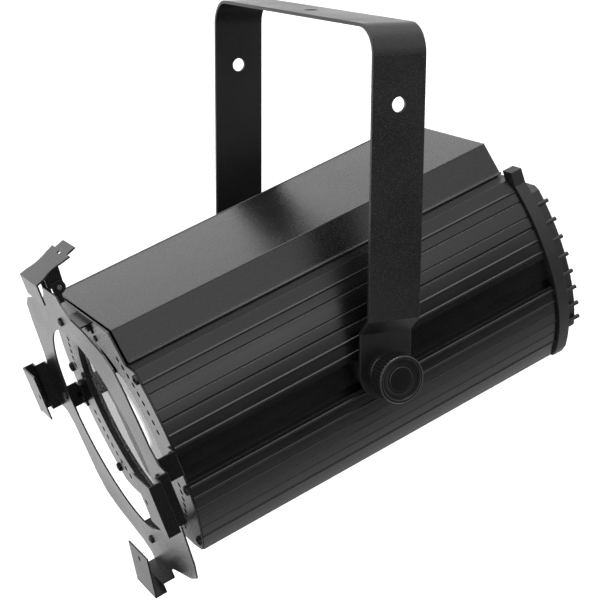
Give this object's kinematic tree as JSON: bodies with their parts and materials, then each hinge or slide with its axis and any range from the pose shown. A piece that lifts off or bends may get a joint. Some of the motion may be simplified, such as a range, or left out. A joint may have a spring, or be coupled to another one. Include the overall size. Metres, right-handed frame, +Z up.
{
  "type": "spotlight",
  "caption": "Theatre spotlight with a bulging ribbed body, front ring holder for accessories, moving lamp carriage and a flat hanging yoke with clamp knobs.",
  "frame": {"origin": "centre of the hanging hole in the yoke's crossbar, on the crossbar's top face", "axes": "+Z up along the hanging hole, +X to the right seen from the front, +Y towards the rear, so the lens faces -Y and, at rest, is tilted down"},
  "size_m": [0.356, 0.5315, 0.5329],
  "materials": {
    "yoke_coat": "textured satin powder coat",
    "housing_coat": "fine satin powder coat",
    "extrusion": "satin black anodised, with lengthwise drawing lines",
    "holder_coat": "satin powder coat",
    "black_screws": "black zinc",
    "steel": "zinc plated",
    "bare_steel": "galvanised sheet",
    "bare_aluminium": "mill finish",
    "mirror_aluminium": "polished",
    "brass": "turned",
    "friction_pad": "matt fibre",
    "lens_glass": "clear",
    "lamp_glass": "clear quartz",
    "ceramic": "unglazed ceramic",
    "moulding": "fine matt moulding",
    "knob_plastic": "satin gloss moulding"
  },
  "bodies": {
    "yoke": {"yoke": "yoke_coat"},
    "head": {"accessory_holder": "holder_coat", "bottom_pan": "housing_coat", "cable_gland": "moulding", "clamp_washer_left": "steel", "clamp_washer_right": "steel", "friction_disc_left": "friction_pad", "friction_disc_right": "friction_pad", "front_bulkhead": "bare_steel", "front_lens": "lens_glass", "front_plate": "housing_coat", "front_plate_screws": "black_screws", "gland_nut": "moulding", "guide_rods": "steel", "heat_shield": "bare_aluminium", "holder_screws": "black_screws", "latch_pin": "steel", "latch_spring": "steel", "lens_holder": "holder_coat", "lens_holder_screws": "black_screws", "pivot_block_left": "extrusion", "pivot_block_right": "extrusion", "pivot_stud_left": "steel", "pivot_stud_right": "steel", "rear_bezel": "moulding", "rear_bulkhead": "bare_steel", "rear_cap": "moulding", "rear_cap_screws": "black_screws", "side_panel_left": "extrusion", "side_panel_right": "extrusion", "spindle_bushes": "brass", "standoff_bottom": "holder_coat", "standoff_left": "holder_coat", "standoff_right": "holder_coat", "standoff_screws": "black_screws", "standoff_top": "holder_coat", "terminal_block": "ceramic", "top_cover": "housing_coat"},
    "knob_right": {"clamp_knob_right": "knob_plastic", "knob_insert_right": "brass"},
    "knob_left": {"clamp_knob_left": "knob_plastic", "knob_insert_left": "brass"},
    "latch": {"latch": "holder_coat"},
    "focus_drive": {"focus_spindle": "steel", "focus_knob": "knob_plastic", "focus_knob_screw": "black_screws"},
    "carriage": {"lamp_carriage": "bare_steel", "spindle_nut": "brass", "lampholder": "ceramic", "lamp_base": "ceramic", "lamp_capsule": "lamp_glass", "reflector": "mirror_aluminium", "reflector_post": "bare_steel"}
  },
  "joints": [
    {"name": "housing_tilt", "type": "hinge", "parent": "yoke", "child": "head", "pos_m": [0, 0, -0.299], "axis": [1, 0, 0], "range_deg": [-90, 115]},
    {"name": "clamp_right_turn", "type": "hinge", "parent": "head", "child": "knob_right", "pos_m": [0.16, 0, -0.299], "axis": [1, 0, 0], "range_deg": [0, 720]},
    {"name": "clamp_left_turn", "type": "hinge", "parent": "head", "child": "knob_left", "pos_m": [-0.16, 0, -0.299], "axis": [-1, 0, 0], "range_deg": [0, 720]},
    {"name": "latch_pivot", "type": "hinge", "parent": "head", "child": "latch", "pos_m": [0, -0.25032, -0.2272], "axis": [1, 0, 0], "range_deg": [-35, 0], "stiffness_Nm_per_rad": 0.12, "springref_deg": 20.05},
    {"name": "focus_turn", "type": "hinge", "parent": "head", "child": "focus_drive", "pos_m": [0, 0.02492, -0.36655], "axis": [0, 0.9382, 0.3461], "range_deg": [-1621, 1621]},
    {"name": "carriage_slide", "type": "slide", "parent": "head", "child": "carriage", "axis": [0, 0.9382, 0.3461], "range_m": [-0.054, 0.054]}
  ],
  "couplings": [
    {"joint": "focus_turn", "follows": "carriage_slide", "rad_per_m": 523.6}
  ]
}
